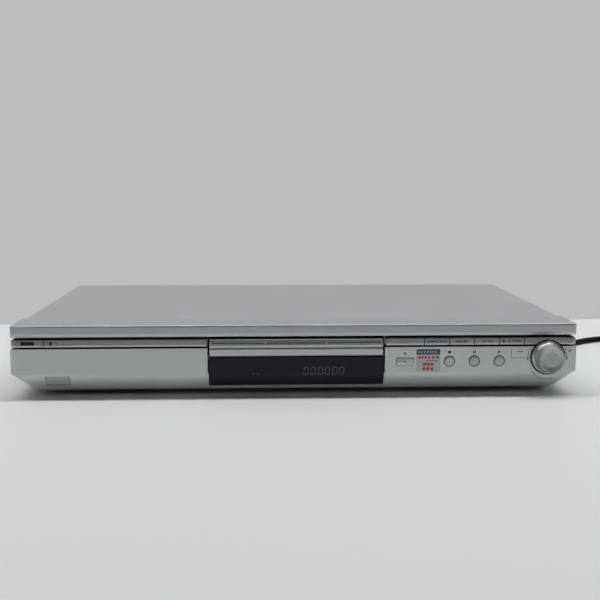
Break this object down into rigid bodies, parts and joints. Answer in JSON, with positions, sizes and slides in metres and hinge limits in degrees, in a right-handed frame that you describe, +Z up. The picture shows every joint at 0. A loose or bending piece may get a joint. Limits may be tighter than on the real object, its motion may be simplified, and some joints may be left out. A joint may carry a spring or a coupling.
{
  "type": "dvd player with tray",
  "caption": "Slim disc player with a tray that slides out of the front, a dark display window, push buttons, a jog knob and a coiled mains lead.",
  "frame": {"origin": "on the table under the middle of the player's own box, which runs from the knob's face to the ends of the sockets, without the mains lead", "axes": "+X to the right seen from the front, +Y to the back, +Z up"},
  "size_m": [0.627, 0.3578, 0.055],
  "materials": {
    "silver_plastic": "satin silver paint",
    "trim_plastic": "bright silver paint",
    "button_plastic": "bright silver paint",
    "cover_paint": "fine-grained silver paint",
    "zinc_steel": "zinc-plated sheet",
    "window_plastic": "dark tinted",
    "sensor_plastic": "tinted",
    "grey_plastic": "moulded",
    "black_plastic": "moulded",
    "white_plastic": "moulded",
    "screw_steel": "ground",
    "motor_steel": "plated",
    "board_green": "laminate",
    "board_brown": "laminate",
    "component_black": "moulded",
    "transformer_core": "taped ferrite",
    "heat_sink_metal": "extruded",
    "plated_sleeves": "nickel plated",
    "tube_glass": "smoked",
    "lens_glass": "coated",
    "belt_rubber": "matt",
    "lead_rubber": "satin"
  },
  "bodies": {
    "cabinet": {"chassis_base": "zinc_steel", "rear_panel": "zinc_steel", "top_cover": "cover_paint", "front_panel": "silver_plastic", "top_cap": "silver_plastic", "trim_strips": "trim_plastic", "display_window": "window_plastic", "sensor_window": "sensor_plastic", "feet": "grey_plastic", "case_screws": "screw_steel", "loader_frame": "grey_plastic", "clamp_bridge": "zinc_steel", "main_board": "board_green", "board_components": "component_black", "power_board": "board_brown", "power_transformer": "transformer_core", "power_capacitors": "component_black", "heat_sink": "heat_sink_metal", "front_boards": "board_green", "display_tube": "tube_glass", "tact_switches": "black_plastic", "encoder_body": "motor_steel", "jack_block": "black_plastic", "jack_sleeves": "plated_sleeves", "signal_sockets": "black_plastic", "mains_inlet": "black_plastic", "flat_cables": "white_plastic", "loading_motor": "motor_steel", "drive_belt": "belt_rubber", "mains_lead": "lead_rubber", "mains_coil": "lead_rubber", "mains_plug": "lead_rubber", "lead_connector": "lead_rubber"},
    "tray": {"disc_tray": "black_plastic", "tray_door": "trim_plastic"},
    "drive_gear": {"drive_gear": "white_plastic"},
    "pulley_gear": {"pulley_gear": "white_plastic"},
    "motor_pulley": {"motor_pulley": "white_plastic"},
    "cam_slider": {"cam_slider": "white_plastic"},
    "traverse": {"traverse_frame": "grey_plastic", "spindle_motor": "motor_steel", "guide_rods": "screw_steel", "sled_motor": "motor_steel"},
    "turntable": {"turntable": "black_plastic"},
    "clamper": {"clamper": "black_plastic"},
    "pickup": {"pickup_sled": "black_plastic", "pickup_lens": "lens_glass"},
    "lead_screw": {"lead_screw": "screw_steel"},
    "power_button": {"power_button": "trim_plastic"},
    "tray_button": {"tray_button": "button_plastic"},
    "stop_button": {"stop_button": "button_plastic"},
    "pause_button": {"pause_button": "button_plastic"},
    "play_button": {"play_button": "button_plastic"},
    "replay_button": {"replay_button": "trim_plastic"},
    "skip_back_button": {"skip_back_button": "trim_plastic"},
    "skip_forward_button": {"skip_forward_button": "trim_plastic"},
    "zoom_button": {"zoom_button": "trim_plastic"},
    "jog_knob": {"jog_knob": "button_plastic"}
  },
  "joints": [
    {"name": "tray_slide", "type": "slide", "parent": "cabinet", "child": "tray", "axis": [0, -1, 0], "range_m": [0, 0.135]},
    {"name": "drive_gear_spin", "type": "hinge", "parent": "cabinet", "child": "drive_gear", "pos_m": [-0.047, -0.08875, 0.018], "axis": [0, 0, 1], "range_deg": [-5, 972]},
    {"name": "pulley_gear_spin", "type": "hinge", "parent": "cabinet", "child": "pulley_gear", "pos_m": [-0.024, -0.08875, 0.018], "axis": [0, 0, 1], "range_deg": [-2760, 15]},
    {"name": "motor_pulley_spin", "type": "hinge", "parent": "cabinet", "child": "motor_pulley", "pos_m": [0.008, -0.08875, 0.023], "axis": [0, 0, 1], "range_deg": [-7530, 40]},
    {"name": "traverse_tilt", "type": "hinge", "parent": "cabinet", "child": "traverse", "pos_m": [0, 0.03525, 0.026], "axis": [1, 0, 0], "range_deg": [0, 4.5]},
    {"name": "cam_slide", "type": "slide", "parent": "cabinet", "child": "cam_slider", "axis": [1, 0, 0], "range_m": [0, 0.0242]},
    {"name": "turntable_spin", "type": "hinge", "parent": "traverse", "child": "turntable", "pos_m": [0, -0.04875, 0.036], "axis": [0, 0, 1], "continuous": true},
    {"name": "clamper_spin", "type": "hinge", "parent": "cabinet", "child": "clamper", "pos_m": [0, -0.04875, 0.044], "axis": [0, 0, 1], "continuous": true},
    {"name": "pickup_slide", "type": "slide", "parent": "traverse", "child": "pickup", "axis": [0, 1, 0], "range_m": [0, 0.034]},
    {"name": "lead_screw_spin", "type": "hinge", "parent": "traverse", "child": "lead_screw", "pos_m": [0.03, 0, 0.0255], "axis": [0, 1, 0], "range_deg": [-15, 4110]},
    {"name": "power_button_press", "type": "slide", "parent": "cabinet", "child": "power_button", "axis": [0, 1, 0], "range_m": [0, 0.0008], "stiffness_N_per_m": 400, "springref_m": -0.001},
    {"name": "tray_button_press", "type": "slide", "parent": "cabinet", "child": "tray_button", "axis": [0, 1, 0], "range_m": [0, 0.0008], "stiffness_N_per_m": 400, "springref_m": -0.001},
    {"name": "stop_button_press", "type": "slide", "parent": "cabinet", "child": "stop_button", "axis": [0, 1, 0], "range_m": [0, 0.0008], "stiffness_N_per_m": 400, "springref_m": -0.001},
    {"name": "pause_button_press", "type": "slide", "parent": "cabinet", "child": "pause_button", "axis": [0, 1, 0], "range_m": [0, 0.0008], "stiffness_N_per_m": 400, "springref_m": -0.001},
    {"name": "play_button_press", "type": "slide", "parent": "cabinet", "child": "play_button", "axis": [0, 1, 0], "range_m": [0, 0.0008], "stiffness_N_per_m": 400, "springref_m": -0.001},
    {"name": "replay_button_press", "type": "slide", "parent": "cabinet", "child": "replay_button", "axis": [0, 1, 0], "range_m": [0, 0.0008], "stiffness_N_per_m": 400, "springref_m": -0.001},
    {"name": "skip_back_button_press", "type": "slide", "parent": "cabinet", "child": "skip_back_button", "axis": [0, 1, 0], "range_m": [0, 0.0008], "stiffness_N_per_m": 400, "springref_m": -0.001},
    {"name": "skip_forward_button_press", "type": "slide", "parent": "cabinet", "child": "skip_forward_button", "axis": [0, 1, 0], "range_m": [0, 0.0008], "stiffness_N_per_m": 400, "springref_m": -0.001},
    {"name": "zoom_button_press", "type": "slide", "parent": "cabinet", "child": "zoom_button", "axis": [0, 1, 0], "range_m": [0, 0.0008], "stiffness_N_per_m": 400, "springref_m": -0.001},
    {"name": "jog_knob_turn", "type": "hinge", "parent": "cabinet", "child": "jog_knob", "pos_m": [0.1928, -0.12475, 0.0289], "axis": [0, -1, 0], "continuous": true}
  ],
  "couplings": [
    {"joint": "drive_gear_spin", "follows": "tray_slide", "rad_per_m": 125},
    {"joint": "pulley_gear_spin", "follows": "tray_slide", "rad_per_m": -354.17},
    {"joint": "motor_pulley_spin", "follows": "tray_slide", "rad_per_m": -965.91},
    {"joint": "cam_slide", "follows": "traverse_tilt", "m_per_rad": 0.30558},
    {"joint": "clamper_spin", "follows": "turntable_spin", "ratio": 1},
    {"joint": "lead_screw_spin", "follows": "pickup_slide", "rad_per_m": 2094.4}
  ]
}
